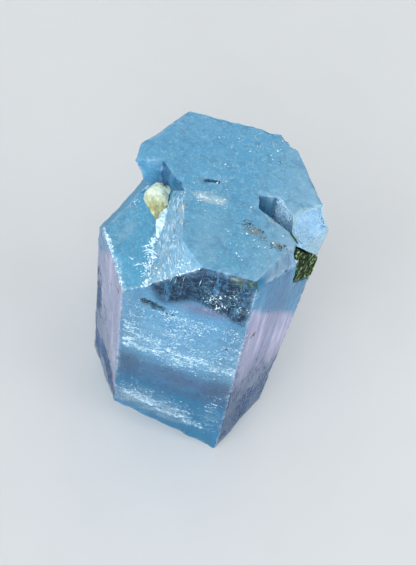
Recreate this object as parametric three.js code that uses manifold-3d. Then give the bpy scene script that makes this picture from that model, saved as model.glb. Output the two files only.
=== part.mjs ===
// A short, thick aquamarine prism standing on its broken foot, with its long axis upright.
// Millimetres, +Z up, the broad front prism face looking towards -Y, the foot on z = 0.
// The prism is six sided. Its upper end is a flat basal face, and the upper left corner has
// broken away along a slope with two upright walls behind it. A grain of feldspar is caught
// under those walls, and a patch of green mica fills a hollow in the right face.

import * as THREE from "three";
import { ConvexGeometry } from "three/addons/geometries/ConvexGeometry.js";
import { mergeVertices } from "three/addons/utils/BufferGeometryUtils.js";
import Module from "manifold-3d";

const wasm = await Module();
wasm.setup();

// Overall form
const TOP = 62;
const BLOCK = 160;
const GAP = 0.3;

// Prism faces: compass angle of the outward normal, distance from the axis at the top edge,
// and the angle at which the face draws in towards the foot.
const PRISM_FACES = [
  { azimuth: -90, reach: 17.1, drawIn: 1.9 },
  { azimuth: -30, reach: 17.65, drawIn: 0.25 },
  { azimuth: 30, reach: 17.1, drawIn: 3.6 },
  { azimuth: 90, reach: 17.1, drawIn: 0 },
  { azimuth: 150, reach: 16.5, drawIn: -0.1 },
  { azimuth: 210, reach: 18.7, drawIn: 1.3 },
];
const RIGHT_FACE = PRISM_FACES[1];
const BACK_RIGHT_FACE = PRISM_FACES[2];

// Single flat cuts: outward normal as azimuth and elevation, and a point on the plane.
const FOOT_LEFT = { azimuth: 233.9, elevation: -54.6, point: [10.6, -15, 0] };
const FOOT_RIGHT = { azimuth: -0.7, elevation: -50, point: [10.9, -15, 0] };

// Steep bevel along the front half of the right top edge, and the plane that it stops at.
const RIGHT_BEVEL = { azimuth: -26, elevation: 13, point: [14.4, -8.1, TOP] };
const BEVEL_END = { azimuth: 240, elevation: 0, point: [16.1, -7.4, TOP] };

// Upper left break: sloping floor, crushed slope under the top face and its front corner,
// rolled-over back edge, and the two upright walls behind the floor.
const LEDGE_FLOOR = { azimuth: 200.3, elevation: 50.5, point: [-11.65, -16.7, 49.6] };
const CRUSHED_SLOPE = { azimuth: 191, elevation: 27.5, point: [-5.6, -1.39, TOP] };
const CRUSHED_CORNER = { azimuth: 225.9, elevation: 33.7, point: [-2.5, -13.5, TOP] };
const LEDGE_ROLL = { azimuth: 171.3, elevation: 31.5, point: [-15.35, 5.92, 50.54] };
const WALL_FRONT = { azimuth: -70.8, elevation: 0, point: [-10.8, 3.6, TOP] };
const WALL_STRIPED = { azimuth: 223.8, elevation: 0, point: [-10.8, 3.6, TOP] };
const LOBE_END = { azimuth: 180, elevation: -20, point: [-15.4, 2.1, TOP] };

// Wedge-shaped pit in the top face: three upright walls and a floor dropping towards the back.
const PIT_WALL_BACK = { azimuth: -80.7, elevation: 0, point: [7.1, 1.33, TOP] };
const PIT_WALL_RIGHT = { azimuth: 227.8, elevation: 0, point: [10.2, 1.83, TOP] };
const PIT_WALL_LEFT = { azimuth: 8, elevation: 0, point: [7.1, 1.33, TOP] };
const PIT_WALL_END = { azimuth: 186, elevation: 0, point: [13.75, -3.5, TOP] };
const PIT_FLOOR = { azimuth: 60.2, elevation: 34, point: [7.1, -1.5, TOP] };

// Narrow slit in the top face.
const SLIT_BACK = { azimuth: -84, elevation: 0, point: [-2.6, 2.0, TOP] };
const SLIT_RIGHT = { azimuth: 186, elevation: 0, point: [-0.2, 2.2, TOP] };
const SLIT_LEFT = { azimuth: 6, elevation: 0, point: [-2.7, 1.9, TOP] };
const SLIT_FLOOR = { azimuth: 96, elevation: 34, point: [-1.4, 1.5, TOP] };

// Shell-shaped chips: centre and radius of the ball that the chip follows.
const SHELL_CHIPS = [
  { centre: [18.9, -2.6, 69.5], radius: 9.3 },
  { centre: [11.2, 17.2, 63.2], radius: 3.0 },
  { centre: [-8.3, 21.6, 66.4], radius: 6.2 },
  { centre: [17.6, -6.2, -3.4], radius: 8.6 },
];

// Hollow in the right face, as corners in (distance along the face, height).
const HOLLOW_DEPTH = 2.2;
const HOLLOW_CORNERS = [
  [1.3, 61.2],
  [3.4, 58.9],
  [6.2, 55.6],
  [11.5, 50.6],
  [11.5, 45.6],
  [8.4, 46.9],
  [5.2, 48.6],
  [2.5, 50.6],
  [1.9, 56.7],
];
const MICA_SINK = 0.15;
const MICA_GROOVE_PITCH = 1.25;
const MICA_GROOVE_DEPTH = 0.5;
const MICA_GROOVE_SLANT = 14;

// Feldspar grain: centre, half sizes across and along the ledge, turn, lumps and taper.
const GRAIN_CENTRE = [-9.9, -1.1, 56.4];
const GRAIN_HALF = [2.2, 3.6, 2.6];
const GRAIN_TURN = 11.5;
const GRAIN_LUMPS = 0.17;
const GRAIN_TAPER = 0.56;

function normalOf(plane) {
  const azimuth = THREE.MathUtils.degToRad(plane.azimuth);
  const elevation = THREE.MathUtils.degToRad(plane.elevation);
  return new THREE.Vector3(
    Math.cos(azimuth) * Math.cos(elevation),
    Math.sin(azimuth) * Math.cos(elevation),
    Math.sin(elevation)
  );
}

function prismPlane(face) {
  const azimuth = THREE.MathUtils.degToRad(face.azimuth);
  const point = [face.reach * Math.cos(azimuth), face.reach * Math.sin(azimuth), TOP];
  return { azimuth: face.azimuth, elevation: -face.drawIn, point };
}

function moved(plane, distance) {
  const shift = normalOf(plane).multiplyScalar(distance);
  const point = new THREE.Vector3(...plane.point).add(shift).toArray();
  return { ...plane, point };
}

function toManifold(geometry) {
  const bare = geometry.clone();
  bare.deleteAttribute("normal");
  bare.deleteAttribute("uv");
  const welded = mergeVertices(bare, 1e-5);
  return new wasm.Manifold(
    new wasm.Mesh({
      numProp: 3,
      vertProperties: new Float32Array(welded.attributes.position.array),
      triVerts: new Uint32Array(welded.index.array),
    })
  );
}

function toGeometry(manifold) {
  const mesh = manifold.getMesh();
  const geometry = new THREE.BufferGeometry();
  const positions = new Float32Array(mesh.vertProperties);
  geometry.setAttribute("position", new THREE.BufferAttribute(positions, 3));
  geometry.setIndex(new THREE.BufferAttribute(new Uint32Array(mesh.triVerts), 1));
  geometry.computeVertexNormals();
  return geometry;
}

// A large block whose one side lies on the plane and which fills the space outside it.
function outside(plane) {
  const geometry = new THREE.BoxGeometry(BLOCK, BLOCK, BLOCK);
  geometry.translate(0, 0, BLOCK / 2);
  const turn = new THREE.Quaternion().setFromUnitVectors(new THREE.Vector3(0, 0, 1), normalOf(plane));
  geometry.applyQuaternion(turn);
  geometry.translate(...plane.point);
  return toManifold(geometry);
}

// The space that lies outside every one of the planes.
function wedge(...planes) {
  const blocks = planes.map(outside);
  return blocks.reduce((space, block) => space.intersect(block));
}

function ball(centre, radius) {
  const geometry = new THREE.SphereGeometry(radius, 36, 24);
  geometry.rotateX(Math.PI / 2);
  geometry.translate(...centre);
  return toManifold(geometry);
}

// Distance along the right face and height turned into points on, or below, that face.
function rightFacePoints(corners, depth) {
  const plane = prismPlane(RIGHT_FACE);
  const normal = normalOf(plane);
  const along = new THREE.Vector3(-normal.y, normal.x, 0).normalize();
  const origin = new THREE.Vector3(normal.x, normal.y, 0).normalize().multiplyScalar(RIGHT_FACE.reach);
  return corners.map(([distance, height]) => {
    const drop = (height - TOP) * Math.tan(THREE.MathUtils.degToRad(RIGHT_FACE.drawIn));
    const point = origin.clone().addScaledVector(along, distance);
    point.addScaledVector(normal, drop - depth);
    point.z = height;
    return point;
  });
}

function hollowBlock(inset, floor, lift) {
  const middle = new THREE.Vector2();
  HOLLOW_CORNERS.forEach(([distance, height]) => middle.add(new THREE.Vector2(distance, height)));
  middle.divideScalar(HOLLOW_CORNERS.length);
  const corners = HOLLOW_CORNERS.map(([distance, height]) => {
    const towards = middle.clone().sub(new THREE.Vector2(distance, height));
    const step = towards.normalize().multiplyScalar(inset);
    return [distance + step.x, height + step.y];
  });
  const points = [...rightFacePoints(corners, floor), ...rightFacePoints(corners, -lift)];
  return toManifold(new ConvexGeometry(points));
}

function makeCrystal() {
  let crystal = toManifold(new THREE.BoxGeometry(60, 60, TOP).translate(0, 0, TOP / 2));
  for (const face of PRISM_FACES) {
    crystal = crystal.subtract(outside(prismPlane(face)));
  }
  for (const plane of [FOOT_LEFT, FOOT_RIGHT]) {
    crystal = crystal.subtract(outside(plane));
  }
  crystal = crystal.subtract(wedge(RIGHT_BEVEL, BEVEL_END));
  for (const floor of [LEDGE_FLOOR, LEDGE_ROLL]) {
    crystal = crystal.subtract(wedge(floor, CRUSHED_SLOPE, WALL_FRONT, WALL_STRIPED));
  }
  crystal = crystal.subtract(wedge(LEDGE_FLOOR, CRUSHED_CORNER, WALL_FRONT, WALL_STRIPED));
  crystal = crystal.subtract(wedge(LOBE_END, LEDGE_ROLL));
  crystal = crystal.subtract(
    wedge(PIT_WALL_BACK, PIT_WALL_RIGHT, PIT_WALL_LEFT, PIT_WALL_END, PIT_FLOOR),
  );
  crystal = crystal.subtract(wedge(SLIT_BACK, SLIT_RIGHT, SLIT_LEFT, SLIT_FLOOR));
  for (const chip of SHELL_CHIPS) {
    crystal = crystal.subtract(ball(chip.centre, chip.radius));
  }
  return crystal.subtract(hollowBlock(0, HOLLOW_DEPTH, 6));
}

// Fills the hollow flush with the two prism faces beside it, with slanting grooves between
// the books of flakes.
function makeMica() {
  let mica = hollowBlock(GAP * 1.5, HOLLOW_DEPTH - GAP, 6);
  mica = mica.subtract(outside(moved(prismPlane(RIGHT_FACE), -MICA_SINK)));
  mica = mica.subtract(outside(moved(prismPlane(BACK_RIGHT_FACE), -MICA_SINK)));
  mica = mica.subtract(ball(SHELL_CHIPS[0].centre, SHELL_CHIPS[0].radius + GAP));
  mica = mica.subtract(wedge(moved(RIGHT_BEVEL, -MICA_SINK), BEVEL_END));
  const slant = Math.tan(THREE.MathUtils.degToRad(MICA_GROOVE_SLANT));
  for (let distance = 2.6; distance < 9.6; distance += MICA_GROOVE_PITCH) {
    const half = MICA_GROOVE_DEPTH * 0.6;
    const groove = [64, 44].flatMap((height) => {
      const middle = distance + (height - 54) * slant;
      const rim = rightFacePoints([[middle - half, height], [middle + half, height]], -1);
      const keel = rightFacePoints([[middle, height]], MICA_SINK + MICA_GROOVE_DEPTH);
      return [...rim, ...keel];
    });
    mica = mica.subtract(toManifold(new ConvexGeometry(groove)));
  }
  return mica;
}

// A lumpy grain, trimmed by the ledge and the two walls that it sits against.
function makeGrain() {
  const geometry = mergeVertices(bareSphere(40, 28), 1e-5);
  const position = geometry.attributes.position;
  const point = new THREE.Vector3();
  for (let i = 0; i < position.count; i += 1) {
    point.fromBufferAttribute(position, i);
    const lump = Math.sin(3.1 * point.x + 1.3 * point.y) * Math.cos(2.7 * point.y - 2.2 * point.z);
    const fold = Math.sin(6.3 * point.y + 2.1 * point.x + 0.7) * 0.45;
    const narrow = 1 + GRAIN_TAPER * point.y;
    const swell = 1 + GRAIN_LUMPS * (lump + fold);
    position.setXYZ(i, point.x * swell * narrow, point.y * swell, point.z * swell * narrow);
  }
  geometry.scale(...GRAIN_HALF);
  geometry.rotateZ(THREE.MathUtils.degToRad(GRAIN_TURN));
  geometry.rotateY(THREE.MathUtils.degToRad(LEDGE_FLOOR.elevation - 90));
  geometry.translate(...GRAIN_CENTRE);
  let grain = toManifold(geometry);
  for (const plane of [LEDGE_FLOOR, WALL_FRONT, WALL_STRIPED, CRUSHED_SLOPE]) {
    grain = grain.intersect(outside(moved(plane, GAP)));
  }
  return grain;
}

function bareSphere(columns, rows) {
  const geometry = new THREE.SphereGeometry(1, columns, rows);
  geometry.deleteAttribute("normal");
  geometry.deleteAttribute("uv");
  return geometry;
}

function piece(name, manifold, colour, roughness) {
  const material = new THREE.MeshStandardMaterial({ color: colour, roughness, metalness: 0 });
  const mesh = new THREE.Mesh(toGeometry(manifold), material);
  mesh.name = name;
  return mesh;
}

const specimen = new THREE.Group();
specimen.name = "aquamarine_specimen";
specimen.add(piece("aquamarine_crystal", makeCrystal(), 0x6aa6cc, 0.35));
specimen.add(piece("feldspar_grain", makeGrain(), 0xcfe0c4, 0.8));
specimen.add(piece("green_mica_patch", makeMica(), 0x466f5b, 0.7));

export default specimen;
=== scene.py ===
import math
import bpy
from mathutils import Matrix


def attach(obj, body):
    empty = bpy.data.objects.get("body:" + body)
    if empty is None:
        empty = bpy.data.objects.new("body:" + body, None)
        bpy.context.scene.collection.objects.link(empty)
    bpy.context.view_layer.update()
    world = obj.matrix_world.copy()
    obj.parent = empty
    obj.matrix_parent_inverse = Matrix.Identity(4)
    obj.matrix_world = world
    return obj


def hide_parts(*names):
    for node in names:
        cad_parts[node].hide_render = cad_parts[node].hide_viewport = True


bl_info = {
    "name": "Aquamarine Crystal",
    "version": (1, 0, 0),
    "blender": (4, 5, 0),
    "location": "View3D > Sidebar > Crystal",
    "description": "A stout aquamarine prism with veils, feldspar grain and mica, on a plain stage",
    "category": "Object",
}

import bpy
import numpy as np
from mathutils import Matrix, Vector

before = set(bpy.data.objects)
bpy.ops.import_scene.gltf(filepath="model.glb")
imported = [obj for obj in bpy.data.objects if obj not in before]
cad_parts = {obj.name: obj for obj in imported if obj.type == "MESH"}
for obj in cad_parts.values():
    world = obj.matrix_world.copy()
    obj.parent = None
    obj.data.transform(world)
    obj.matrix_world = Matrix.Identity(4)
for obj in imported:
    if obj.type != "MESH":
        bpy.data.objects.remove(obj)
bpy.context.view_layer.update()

# Millimetre in metres, the level of the top face, the least length to divide by, the distance
# within which a point lies on a plane, and the most rounds of splitting.
MM = 0.001
TOP = 62.0
TINY = 1e-12
ON_PLANE = 0.02
MOST_SPLITS = 14
SHARP_ANGLE = math.radians(28)
BERYL_IOR = 1.577
GRAIN_SEED, BLADE_SEED, TIP_SEED = 19, 31, 37

# Half width of the floor and of how many squares it is made, and the width of the camera's sensor.
FLOOR_HALF, FLOOR_STEPS = 900, 12
SENSOR_WIDTH = 36

# Planes of the crystal in millimetres: compass angle and rise of the outward normal, a point on
# the plane, and the longest edge left on it after splitting.
FLAT_FACES = {
    "front": (-90, -1.9, (0, -17.1, TOP), 0.6),
    "right": (-30, -0.25, (15.285, -8.825, TOP), 0.7),
    "back_right": (30, -3.6, (14.809, 8.55, TOP), 1.1),
    "back": (90, 0, (0, 17.1, TOP), 1.2),
    "back_left": (150, 0.1, (-14.289, 8.25, TOP), 1.1),
    "left": (210, -1.3, (-16.195, -9.35, TOP), 0.7),
    "top": (0, 90, (0, 0, TOP), 0.55),
    "sole": (0, -90, (0, 0, 0), 1.2),
    "foot_left": (233.9, -54.6, (10.6, -15, 0), 0.9),
    "foot_right": (-0.7, -50, (10.9, -15, 0), 0.9),
    "bevel": (-26, 13, (14.4, -8.1, TOP), 0.5),
    "ledge": (200.3, 50.5, (-11.65, -16.7, 49.6), 0.5),
    "crushed": (191, 27.5, (-5.6, -1.39, TOP), 0.36),
    "crushed_corner": (225.9, 33.7, (-2.5, -13.5, TOP), 0.36),
    "roll": (171.3, 31.5, (-15.35, 5.92, 50.54), 0.5),
    "wall_front": (-70.8, 0, (-10.8, 3.6, TOP), 0.5),
    "wall_striped": (223.8, 0, (-10.8, 3.6, TOP), 0.3),
    "lobe_end": (180, -20, (-15.4, 2.1, TOP), 0.5),
    "pit_back": (-80.7, 0, (7.1, 1.33, TOP), 0.25),
    "pit_right": (227.8, 0, (10.2, 1.83, TOP), 0.4),
    "pit_left": (8, 0, (7.1, 1.33, TOP), 0.5),
    "pit_end": (186, 0, (13.75, -3.5, TOP), 0.4),
    "pit_floor": (60.2, 34, (7.1, -1.5, TOP), 0.5),
}
OTHER_LIMIT = 0.5
FACE_NAMES = list(FLAT_FACES) + ["shell", "corner", "slit"]

# Ball that hollowed out the round chip at the right corner.
CHIP_BALL = np.array([18.9, -2.6, 69.5])
CHIP_RADIUS = 9.25

# Level directions along the right and the left face, and the lean of the front face.
RIGHT_WAY = np.array([0.5, 0.866, 0.0])
LEFT_WAY = np.array([0.5, -0.866, 0.0])
UP = np.array([0.0, 0.0, 1.0])
FRONT_LEAN = -0.033


def normal_of(azimuth, elevation):
    """Unit vector from a compass angle and a rise above the level, in degrees."""
    a, e = math.radians(azimuth), math.radians(elevation)
    return np.array([math.cos(a) * math.cos(e), math.sin(a) * math.cos(e), math.sin(e)])


def plane_of(name):
    """Outward normal and offset of a named flat face, so that normal . p = offset on it."""
    azimuth, elevation, point, _ = FLAT_FACES[name]
    normal = normal_of(azimuth, elevation)
    return normal, float(normal @ np.array(point))


def height_over(name, points):
    """Height of points over the plane of a flat face, below zero inside the crystal."""
    normal, offset = plane_of(name)
    return points @ normal - offset


def pressed(name, points, proud=0.0):
    """Points moved along the normal of a flat face until they stand proud of it by so much."""
    normal, offset = plane_of(name)
    return points + normal * (offset + proud - points @ normal)[:, None]


def together(*columns):
    """One row for each place, from columns or constants."""
    return np.stack(np.broadcast_arrays(*columns), axis=1)


def between(start, end, t):
    """Places on a straight line: start where t is 0, end where it is 1."""
    return np.array(start) * (1 - t) + np.array(end) * t


def smooth(low, high, value):
    """0 below low, 1 above high, and the cubic 3t2 - 2t3 between."""
    t = np.clip((value - low) / (high - low), 0, 1)
    return t * t * (3 - 2 * t)


def noise(points, period, seed=0):
    """Value noise in -1..1: random numbers at the corners of cells one period wide, eased
    together inside each cell with 3t2 - 2t3 along every axis."""
    q = np.asarray(points, float) / period
    cell = np.floor(q)
    t = q - cell
    t = t * t * (3 - 2 * t)
    total = np.zeros(q.shape[:-1])
    for corner in np.ndindex(2, 2, 2):
        at = cell + corner
        raw = np.sin(at @ np.array([127.1, 311.7, 74.7]) + 53.3 * seed) * 43758.5453
        weight = np.prod(np.where(np.array(corner) == 1, t, 1 - t), axis=-1)
        total += weight * (raw - np.floor(raw))
    return 2 * total - 1


def layers(points, period, seed=0, count=3):
    """Sum of noise at halving periods and halving heights."""
    parts = [noise(points, period / 2**k, seed + 7 * k) / 2**k for k in range(count)]
    return sum(parts) / 1.6


def linear(colour):
    """Screen colour in 0..255 turned into linear light."""
    c = np.asarray(colour, float) / 255
    return np.where(c <= 0.04045, c / 12.92, ((c + 0.055) / 1.055) ** 2.4)


def new_piece(name, points, faces, materials, stands_for=None, attributes=None, picks=None):
    """Puts arrays of points (mm) and faces into a mesh object that rides on the root body; picks
    gives the material of every face, attributes hold one value per point or per face corner."""
    faces = np.asarray(faces, np.int32)
    corners = faces.shape[1]
    mesh = bpy.data.meshes.new(name)
    mesh.vertices.add(len(points))
    mesh.vertices.foreach_set("co", (np.asarray(points) * MM).astype(np.float32).ravel())
    mesh.loops.add(faces.size)
    mesh.loops.foreach_set("vertex_index", faces.ravel())
    mesh.polygons.add(len(faces))
    mesh.polygons.foreach_set("loop_start", np.arange(len(faces), dtype=np.int32) * corners)
    mesh.polygons.foreach_set("use_smooth", np.ones(len(faces), bool))
    for material in materials:
        mesh.materials.append(material)
    if picks is not None:
        mesh.polygons.foreach_set("material_index", np.asarray(picks, np.int32))
    for key, values in (attributes or {}).items():
        values = np.asarray(values, np.float32)
        domain = "POINT" if len(values) == len(points) else "CORNER"
        if values.ndim == 2:
            rgba = np.concatenate([values, np.ones((len(values), 1), np.float32)], axis=1)
            mesh.attributes.new(key, "FLOAT_COLOR", domain).data.foreach_set("color", rgba.ravel())
        else:
            mesh.attributes.new(key, "FLOAT", domain).data.foreach_set("value", values)
    mesh.update(calc_edges=True)
    mesh.validate()
    piece = bpy.data.objects.new(name, mesh)
    bpy.context.scene.collection.objects.link(piece)
    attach(piece, "root")
    if stands_for:
        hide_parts(stands_for)
    return piece


def new_material(name):
    """Empty node material and its tree."""
    made = bpy.data.materials.new(name)
    made.use_nodes = True
    made.node_tree.nodes.clear()
    return made, made.node_tree


def surface(tree, shader):
    """Output node fed by a shader."""
    output = add(tree, "ShaderNodeOutputMaterial")
    tree.links.new(shader.outputs[0], output.inputs["Surface"])
    return output


def add(tree, kind, inputs=None, **settings):
    """Adds a node; inputs may be plain values or sockets to link from."""
    made = tree.nodes.new(kind)
    for key, value in settings.items():
        setattr(made, key, value)
    for key, value in (inputs or {}).items():
        if isinstance(value, bpy.types.NodeSocket):
            tree.links.new(value, made.inputs[key])
        else:
            made.inputs[key].default_value = value
    return made


def attribute(tree, name, socket="Fac"):
    """Value stored at the points of the mesh."""
    return add(tree, "ShaderNodeAttribute", attribute_name=name).outputs[socket]


def stretched(tree, scale=(1, 1, 1), turn=(0, 0, 0)):
    """Object coordinates, turned and stretched."""
    place = add(tree, "ShaderNodeTexCoord").outputs["Object"]
    inputs = {"Vector": place, "Scale": scale, "Rotation": turn}
    return add(tree, "ShaderNodeMapping", inputs).outputs["Vector"]


def speckle(tree, vector, scale, detail=3.0, roughness=0.6):
    """Cloudy noise, about 0.3 to 0.7."""
    inputs = {"Vector": vector, "Scale": scale, "Detail": detail, "Roughness": roughness}
    return add(tree, "ShaderNodeTexNoise", inputs).outputs["Fac"]


def cells(tree, vector, scale):
    """Distance to the nearest wall between irregular cells."""
    inputs = {"Vector": vector, "Scale": scale}
    return add(tree, "ShaderNodeTexVoronoi", inputs, feature="DISTANCE_TO_EDGE").outputs["Distance"]


def ranged(tree, value, low, high, to_low, to_high):
    """Value moved from one range to another, and kept in it."""
    inputs = {"Value": value, "From Min": low, "From Max": high, "To Min": to_low, "To Max": to_high}
    return add(tree, "ShaderNodeMapRange", inputs).outputs["Result"]


def maths(tree, operation, first, second):
    """Two values joined by a named operation, kept in 0..1."""
    inputs = {0: first, 1: second}
    return add(tree, "ShaderNodeMath", inputs, operation=operation, use_clamp=True).outputs[0]


def times(tree, first, second):
    """Product of two values."""
    return maths(tree, "MULTIPLY", first, second)


def mixed(tree, factor, first, second, blend="MIX"):
    """Two colours mixed by a factor."""
    inputs = {0: factor, 6: first, 7: second}
    return add(tree, "ShaderNodeMix", inputs, data_type="RGBA", blend_type=blend).outputs[2]


def colour4(values):
    """Colour as a socket value with full cover."""
    return tuple(float(v) for v in values) + (1.0,)


def screen4(*colour):
    """Screen colour in 0..255 as a socket value."""
    return colour4(linear(colour))


# The crystal


def solid_triangles(node):
    """Points (mm) and triangles of a solid, with its doubled points merged."""
    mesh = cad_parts[node].data
    points = np.empty(len(mesh.vertices) * 3, np.float32)
    mesh.vertices.foreach_get("co", points)
    mesh.calc_loop_triangles()
    triangles = np.empty(len(mesh.loop_triangles) * 3, np.int32)
    mesh.loop_triangles.foreach_get("vertices", triangles)
    points = np.round(points.reshape(-1, 3).astype(float) / MM, 3)
    points, index = np.unique(points, axis=0, return_inverse=True)
    triangles = index.reshape(-1)[triangles].reshape(-1, 3)
    a, b, c = triangles.T
    return points, triangles[(a != b) & (b != c) & (c != a)]


def triangle_normals(points, triangles):
    """Cross products and unit normals of triangles."""
    a, b, c = (points[triangles[:, k]] for k in range(3))
    cross = np.cross(b - a, c - a)
    return cross, cross / np.maximum(np.linalg.norm(cross, axis=1, keepdims=True), TINY)


def named_faces(points, triangles):
    """Index into FACE_NAMES for every triangle: the flat face whose plane holds its three
    corners, or the shell for the curved chips and small pits."""
    tags = np.full(len(triangles), FACE_NAMES.index("shell"))
    for k, name in enumerate(FLAT_FACES):
        on_it = np.abs(height_over(name, points[triangles])) < ON_PLANE
        tags[on_it.all(axis=1)] = k
    return tags


def mark_small_faces(points, triangles, tags):
    """Bruised corner of the right face above the hollow, and the narrow slit in the top."""
    middles = points[triangles].mean(axis=1)
    x, y, z = middles.T
    along = middles @ RIGHT_WAY
    above = (tags == FACE_NAMES.index("right")) & (z > 63.6 - 1.37 * along) & (along > 0.8)
    tags = np.where(above, FACE_NAMES.index("corner"), tags)
    narrow = (tags == FACE_NAMES.index("shell")) & (np.hypot(x + 1.4, y - 1.8) < 2.6) & (z > 55)
    return np.where(narrow, FACE_NAMES.index("slit"), tags)


def split_long_edges(points, triangles, tags, limits):
    """Halves every edge that is longer than its limit, over and over. A triangle with one, two
    or three halved edges becomes two, three or four triangles, so no gap opens."""
    for _ in range(MOST_SPLITS):
        pairs = np.sort(triangles[:, [[0, 1], [1, 2], [2, 0]]], axis=2).reshape(-1, 2)
        edges, back = np.unique(pairs, axis=0, return_inverse=True)
        back = back.reshape(-1, 3)
        length = np.linalg.norm(points[edges[:, 0]] - points[edges[:, 1]], axis=1)
        limit = np.full(len(edges), 1e9)
        np.minimum.at(limit, back, np.repeat(limits[tags][:, None], 3, axis=1))
        long = length > limit
        if not long.any():
            break
        middle = np.full(len(edges), -1)
        middle[long] = len(points) + np.arange(long.sum())
        points = np.concatenate([points, points[edges[long]].mean(axis=1)])
        halves = middle[back]
        count = (halves >= 0).sum(axis=1)
        after_whole = (np.argmin(halves >= 0, axis=1) + 1) % 3
        shift = np.where(count == 1, np.argmax(halves >= 0, axis=1), after_whole)
        turn = (shift[:, None] + np.arange(3)) % 3
        t = np.take_along_axis(triangles, turn, axis=1)
        m = np.take_along_axis(halves, turn, axis=1)
        a, b, c = t.T
        ab, bc, ca = m.T
        first = np.linalg.norm(points[a] - points[bc], axis=1)
        nearer = first <= np.linalg.norm(points[ab] - points[c], axis=1)
        parts = [
            (count == 0, [(a, b, c)]),
            (count == 1, [(a, ab, c), (ab, b, c)]),
            (count == 2, [(ab, b, bc)]),
            ((count == 2) & nearer, [(a, ab, bc), (a, bc, c)]),
            ((count == 2) & ~nearer, [(a, ab, c), (ab, bc, c)]),
            (count == 3, [(a, ab, ca), (ab, b, bc), (ca, bc, c), (ab, bc, ca)]),
        ]
        pieces = [(keep, corners) for keep, shapes in parts for corners in shapes]
        triangles = np.concatenate([together(*corners)[keep] for keep, corners in pieces])
        tags = np.concatenate([tags[keep] for keep, _ in pieces])
    return points, triangles, tags


def point_mean(values, triangles, count):
    """Average of a value per triangle over the triangles round each point."""
    total = np.zeros(count)
    touching = np.zeros(count)
    np.add.at(total, triangles, np.repeat(values[:, None], 3, axis=1))
    np.add.at(touching, triangles, 1)
    return total / np.maximum(touching, 1)


def edge_distance(points, triangles, tags):
    """Distance (mm) from every point to the nearest point on a line where two faces meet."""
    low = np.full(len(points), 99)
    high = np.full(len(points), -1)
    np.minimum.at(low, triangles, np.repeat(tags[:, None], 3, axis=1))
    np.maximum.at(high, triangles, np.repeat(tags[:, None], 3, axis=1))
    rim = points[low != high].astype(np.float32)
    near = np.empty(len(points), np.float32)
    for part in np.array_split(np.arange(len(points)), max(1, len(points) // 2000)):
        gaps = points[part].astype(np.float32)[:, None, :] - rim[None, :, :]
        near[part] = np.sqrt((gaps * gaps).sum(axis=2).min(axis=1))
    return near


# Depth of the relief in millimetres for each face: fine grain, broad swell, rubble.
RELIEF = {
    "top": (0.05, 0.10, 0.0),
    "front": (0.015, 0.05, 0.0),
    "right": (0.02, 0.06, 0.0),
    "left": (0.03, 0.10, 0.0),
    "back": (0.02, 0.10, 0.0),
    "back_right": (0.02, 0.10, 0.0),
    "back_left": (0.02, 0.10, 0.0),
    "sole": (0.0, 0.0, 0.0),
    "foot_left": (0.10, 0.40, 0.12),
    "foot_right": (0.10, 0.40, 0.12),
    "ledge": (0.03, 0.12, 0.0),
    "crushed": (0.10, 0.18, 0.30),
    "crushed_corner": (0.10, 0.18, 0.30),
    "roll": (0.08, 0.12, 0.15),
    "bevel": (0.05, 0.10, 0.05),
}


def ledge_bulge(points):
    """Height of the ledge above its plane: most at the left shoulder, none at the front corner,
    fading inwards from the left face as exp(-d2)."""
    inward = -height_over("left", points) / 3.2
    return 1.5 * np.exp(-(inward**2)) * smooth(-16.5, -9.0, points[:, 1])


def crystal_shape(points, triangles, tags, relief):
    """Flat faces with relief along the point normals: grain (noise 0.9 mm across), swell (5 mm),
    rubble (ridged noise 1.6 mm across) and edges worn back by patches of noise."""
    count = len(points)
    cross, _ = triangle_normals(points, triangles)
    normals = np.zeros((count, 3))
    np.add.at(normals, triangles, np.repeat(cross[:, None, :], 3, axis=1))
    normals /= np.maximum(np.linalg.norm(normals, axis=1, keepdims=True), TINY)
    depths = np.array([RELIEF.get(name, (0.04, 0.05, 0.0)) for name in FACE_NAMES])[tags]
    grain, swell, rubble = (point_mean(depths[:, k], triangles, count) for k in range(3))
    near = edge_distance(points, triangles, tags)
    rise = grain * noise(points, 0.9, 3) + swell * layers(points, 5.0, 11)
    rise -= rubble * np.abs(layers(points, 1.9, 23))
    patches = smooth(-0.25, 0.6, layers(points, 2.6, 31))
    wear = np.exp(-near / 0.45) * (1 - spot(points, (-1.4, 1.8, 61.5), (2.2, 1.0, 1.6)))
    rise -= wear * (0.05 + 0.26 * patches)
    nicks = smooth(0.05, 0.7, layers(points, 3.4, 37)) * smooth(57, 61, points[:, 2])
    rise -= 0.95 * nicks * wear**0.55
    standing = smooth(0.0, 0.6, points[:, 2])
    moved = points + normals * (relief * rise * standing)[:, None]
    on_ledge = np.zeros(count)
    for name in ("ledge", "roll"):
        on_ledge[triangles[tags == FACE_NAMES.index(name)]] = 1
    moved[:, 2] += on_ledge * ledge_bulge(points)
    moved[:, 2] = np.maximum(moved[:, 2], 0)
    return moved, wear * (0.12 + 0.88 * patches)


# Colours of the zones, as seen on a screen; where one is laid as painted reflection, highlight or
# light, that is said where it is laid.
BODY = {
    "clear": (134, 199, 236),
    "low": (56, 158, 216),
    "top": (102, 192, 236),
    "ledge": (88, 190, 236),
    "wall": (92, 182, 228),
    "stripe": (54, 122, 166),
    "haze": (196, 234, 255),
    "navy": (0, 20, 50),
    "dusk": (98, 116, 152),
    "rosy": (164, 136, 168),
    "olive": (88, 100, 58),
    "lilac": (190, 190, 228),
    "slate": (44, 92, 138),
    "side_blue": (36, 146, 200),
    "white": (204, 244, 255),
    "chip": (186, 236, 255),
    "broken": (136, 212, 250),
    "straw": (214, 220, 180),
    "tan": (150, 150, 130),
}


def spot(points, middle, half):
    """Round spot: 1 in the middle, falling off as exp(-r2) with r measured in half sizes."""
    return np.exp(-(((points - np.array(middle)) / np.array(half)) ** 2).sum(axis=1))


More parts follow.
